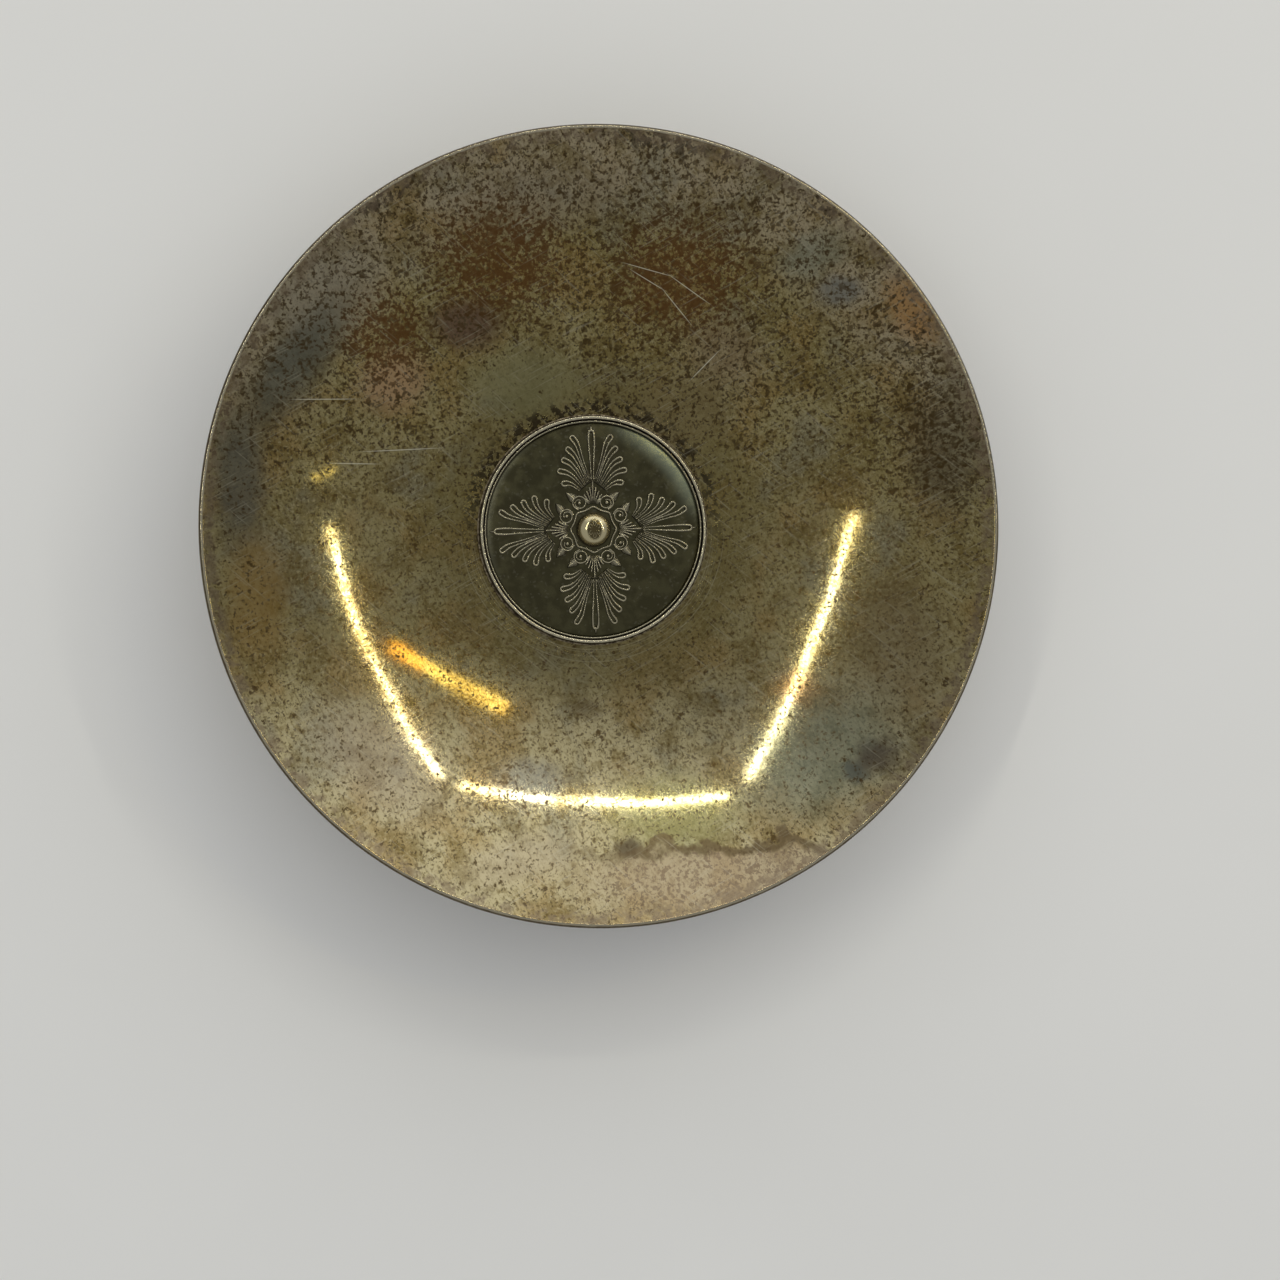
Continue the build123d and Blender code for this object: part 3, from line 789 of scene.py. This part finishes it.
# The crest's bright colour is wear, and a painted highlight too.
sheet.lay((0.4, 0.36, 0.26), crest_wear_and_highlight, 0.85)
dull = sheet.strongest(sheet.times(coarse, 0.8), sheet.times(fine, 0.5), crust, sheet.times(tide, 0.6))
grain = sheet.times(sheet.rise(sheet.noise(0.3, 3, 0.7, shift=17.0), 0.5, 0.7), 0.08)
rougher = sheet.strongest(grain, sheet.times(dull, 0.22))
sheet.relief(sheet.math("ADD", sheet.times(crust, 5.0), mottle), 0.004)
tarnished = sheet.finish(sheet.math("ADD", sheet.rise(patches, 0.35, 0.7, 0.05, 0.08), rougher))

# %% [markdown]
# The foot has steep walls, where a pattern laid out on the plan would smear into stripes, so its film is
# mixed from noise in all three directions. Its base is rubbed where it stands.

# %% Tarnished foot
ring_metal = Finish("tarnished_foot", (0.19, 0.155, 0.07))
foot_specks = ring_metal.noise(0.6, 4, 0.72, shift=31.0)
ring_metal.lay((0.29, 0.245, 0.12), ring_metal.rise(ring_metal.noise(5, 3, 0.6), 0.38, 0.62))
ring_metal.lay((0.08, 0.05, 0.012), ring_metal.rise(foot_specks, 0.53, 0.62, 0.0, 0.7))
ring_metal.lay((0.42, 0.38, 0.28), ring_metal.rise(ring_metal.z, 0.12, 0.02, 0.0, 0.8))
ring_metal.relief(foot_specks, 0.006)
tarnished_foot = ring_metal.finish(ring_metal.rise(foot_specks, 0.4, 0.7, 0.12, 0.3))

# %% [markdown]
# The cast work is silver too. Dark sulphide stays in its hollows and the high edges are rubbed bright, so
# colour follows height above the plate, which falls away near the border.

# %% Cast finishes
DIRT_DEPTH = 0.16


def cast_finish(name, dark, bright, low, high, roughness, falls=0.0):
    """Dark below one level and bright above another, with dirt; the levels may fall with the field."""
    made = Finish(name, dark)
    outward = made.math("SUBTRACT", made.radius, FIELD_FLAT)
    share = made.math("MAXIMUM", made.math("MULTIPLY", outward, 1 / (FIELD_END - FIELD_FLAT)), 0.0)
    above = made.math("ADD", made.z, made.times(share, share, FIELD_FALL * falls))
    height = made.math("ADD", above, made.times(made.noise(0.5, 4, 0.6), DIRT_DEPTH))
    made.lay(bright, made.rise(height, low + DIRT_DEPTH / 2, high + DIRT_DEPTH / 2))
    dusty = (dark[0] * 1.6, dark[1] * 1.5, dark[2] * 1.3)
    made.lay(dusty, made.rise(made.noise(0.9, 3, 0.6, shift=9.0), 0.55, 0.75, 0.0, 0.6))
    made.relief(made.noise(0.4, 3, 0.6, shift=3.0), 0.006)
    return made.finish(roughness)


relief_silver = cast_finish("relief_silver", (0.045, 0.04, 0.024), (0.33, 0.3, 0.205), 5.43, 5.58, 0.2, 1.0)
bright_silver = cast_finish("bright_silver", (0.05, 0.042, 0.025), (0.5, 0.455, 0.32), 5.53, 5.65, 0.14)

# %% [markdown]
# The boss is dark round its device and along its foot. Its shoulder, outside the device's oval ring, and
# whatever stands proud of the dome are rubbed bright.

# %% Finish of the boss
gloss = Finish("polished_silver", (0.1, 0.08, 0.036))
squared = gloss.times(gloss.radius, gloss.radius, 1 / DOME_RADIUS**2)
arch = gloss.math("SQRT", gloss.math("SUBTRACT", 1.0, squared, clamp=True))
proud = gloss.math("SUBTRACT", gloss.z, gloss.math("ADD", gloss.times(arch, DOME_RISE), DOME_FOOT))
oval = gloss.length(gloss.vector("MULTIPLY", gloss.plan, (1 / DEVICE_WIDTH, 1, 0)))
shoulder = gloss.rise(oval, DEVICE_RING - 0.1, DEVICE_RING + 0.15)
gloss.lay((0.53, 0.465, 0.28), gloss.strongest(shoulder, gloss.times(gloss.rise(proud, 0.02, 0.07), 0.8)))
gloss.lay((0.05, 0.04, 0.022), gloss.rise(gloss.z, 6.2, 5.75))
polished_silver = gloss.finish(0.12)

# %% [markdown]
# The field of the plate is smooth and nearly black. A pale crescent at the upper right and a pale edge at
# the left are painted sheen, reflections of the lamps painted into its colour. Solder is grey and gritty.

# %% Finishes of the field and the solder
field = Finish("oxidised_silver", (0.056, 0.051, 0.026), flat=True)
fog = field.noise(2.5, 4, 0.6)
field.lay((0.076, 0.07, 0.036), field.rise(fog, 0.4, 0.65))
field.lay((0.2, 0.19, 0.14), field.rise(field.cells(0.28, field.warp(0.8, 0.3)), 0.93, 0.96), 0.2)
# The pale crescent at the upper right is a painted sheen.
crescent_sheen = field.times(field.rise(field.radius, 12.6, 15.9), field.spot(11.4, 10.2, 7.5, 3.5, -48, soft=0.8))
# The pale edge at the left is a painted sheen.
left_edge_sheen = field.times(field.rise(field.radius, 14.8, 16.0), field.spot(-14.5, 4, 9, 4, 75, soft=0.8))
field.lay((0.3, 0.34, 0.25), crescent_sheen, 0.8)
field.lay((0.24, 0.24, 0.17), left_edge_sheen, 0.4)
field.relief(field.noise(0.6, 3, 0.6), 0.008)
oxidised_silver = field.finish(field.rise(fog, 0.3, 0.7, 0.18, 0.28))
joint = Finish("silver_solder", (0.06, 0.045, 0.03))
grit = joint.noise(0.5, 4, 0.6)
joint.lay((0.3, 0.25, 0.17), joint.rise(grit, 0.4, 0.65))
joint.relief(grit, 0.05)
silver_solder = joint.finish(0.5)

# %% [markdown]
# Each Blender piece now takes its finish, rides on the dish's one body and stands for its CAD node.

# %% Pieces and the nodes they stand for
work = [
    (bowl, tarnished, "tarnished_silver", "bowl"),
    (foot, tarnished_foot, "tarnished_silver", "foot_ring"),
    (foot_solder, silver_solder, "silver_solder", "foot_solder_seam"),
    (plate, oxidised_silver, "oxidised_silver", "medallion_disc"),
    (plate_solder, silver_solder, "silver_solder", "medallion_solder_seam"),
    (bead, bright_silver, "bright_silver", "border_wire"),
    (thin_wire, relief_silver, "relief_silver", "inner_wire"),
    (boss_frame, relief_silver, "relief_silver", "boss_frame"),
    (boss, polished_silver, "polished_silver", "centre_boss"),
]
work += [(piece, relief_silver, "relief_silver", node) for node, piece in ornament.items()]
for piece, material, slot, node in work:
    piece.data.materials.clear()
    piece.data.materials.append(material)
    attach(piece, "root")
    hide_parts(node)
print(len(work), "pieces stand for", len(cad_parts), "nodes")

# %% [markdown]
# The dish stands on a plain pale table.

# %% Table
bpy.ops.object.select_all(action="DESELECT")
bpy.ops.mesh.primitive_plane_add(size=4, location=(0, 0, 0))
table = bpy.context.object
table.name = "table"
pale = Finish("pale_table", (0.80, 0.80, 0.79))
pale.lay((0.84, 0.84, 0.83), pale.noise(60, 3, 0.6))
table.data.materials.append(pale.finish(0.8, metallic=0.0))

# %% [markdown]
# Three long thin lamps, as round a window or a ceiling panel, make the three bright arcs in the bowl, and
# two small warm ones the yellow streaks.

# %% Lamps
LAMP_LEVEL = 700
LAMP_TARGET = Vector((0, 0, 10))
ARC_WIDTH, ARC_POWER = 12, 0.6
WARM_WHITE = (1.0, 0.97, 0.82)
LAMPS = [
    ("lamp_east", (723, 15), (512, 622), ARC_WIDTH, ARC_POWER, WARM_WHITE),
    ("lamp_north", (459, 640), (-179, 646), ARC_WIDTH, ARC_POWER, WARM_WHITE),
    ("lamp_west", (-223, 602), (-451, 7), ARC_WIDTH, ARC_POWER, WARM_WHITE),
    ("lamp_warm", (545, 262), (275, 378), 30, 0.15, (1.0, 0.76, 0.2)),
    ("lamp_small", (802, -100), (706, -116), 6, 0.01, (1.0, 0.85, 0.35)),
]


def lamp(name, start, end, width, power, tint):
    """A rectangular lamp whose length runs between two places, facing the dish."""
    start, end = Vector((*start, LAMP_LEVEL)), Vector((*end, LAMP_LEVEL))
    middle = (start + end) / 2
    along = (end - start).normalized()
    back = (middle - LAMP_TARGET).normalized()
    across = back.cross(along).normalized()
    back = along.cross(across).normalized()
    bpy.ops.object.light_add(type="AREA", location=middle * MM)
    made = bpy.context.object
    made.name = name
    facing = Matrix((along, across, back)).transposed().to_4x4()
    made.matrix_world = Matrix.Translation(middle * MM) @ facing
    made.data.shape = "RECTANGLE"
    made.data.size = (end - start).length * MM
    made.data.size_y = width * MM
    made.data.energy = power
    made.data.color = tint
    made.visible_camera = False


for settings in LAMPS:
    lamp(*settings)
print(len(LAMPS), "lamps placed")

# %% [markdown]
# The world is a soft studio sky. It is brighter towards the north, which lights the south wall of the
# bowl, and near the horizon, which lights the edges of the relief.

# %% Sky
world = bpy.data.worlds.new("room")
world.use_nodes = True
sky = world.node_tree
toward = add_node(sky, "TexCoord", {}).outputs["Generated"]


def sky_share(direction, low, high, bottom, top):
    """The sky's brightness, from bottom to top as it comes nearer to a direction."""
    near = add_node(sky, "VectorMath", {0: toward, 1: direction}, operation="DOT_PRODUCT")
    return smooth_rise(sky, near.outputs["Value"], low, high, bottom, top)


def sky_product(first, second):
    return add_node(sky, "Math", {0: first, 1: second}, operation="MULTIPLY").outputs[0]


NORTH, UP = (0.25, 0.97, 0.0), (0.0, 0.0, 1.0)
by_height = sky_product(sky_share(UP, 0.2, 0.55, 0.8, 1.0), sky_share(UP, 0.12, 0.3, 1.9, 1.0))
brightness = sky_product(sky_share(NORTH, 0.38, 0.86, 0.48, 1.36), by_height)
feed(sky, sky.nodes["Background"], {"Strength": brightness, "Color": (0.975, 0.985, 1.0, 1)})
bpy.context.scene.world = world
bpy.context.scene.view_settings.view_transform = "Standard"
print("sky has", len(sky.nodes), "nodes")

# %% [markdown]
# The camera looks down into the dish from about half a metre, leaning a little from the west, with a
# long lens.

# %% Camera
CAMERA_PLACE = (-48.39, -13.35, 471.0)
LEAN_EAST, LEAN_NORTH, CAMERA_ROLL = -6.73, -0.40, -1.4
FOCAL_LENGTH, SENSOR_WIDTH = 88.34, 36.0


def turn_about(axis, degrees):
    return Matrix.Rotation(math.radians(degrees), 4, axis)


bpy.ops.object.camera_add()
camera = bpy.context.object
camera.name = "camera"
lean = turn_about("Y", LEAN_EAST) @ turn_about("X", LEAN_NORTH)
camera.matrix_world = Matrix.Translation(Vector(CAMERA_PLACE) * MM) @ lean @ turn_about("Z", CAMERA_ROLL)
camera.data.lens = FOCAL_LENGTH
camera.data.sensor_width = SENSOR_WIDTH
bpy.context.scene.camera = camera
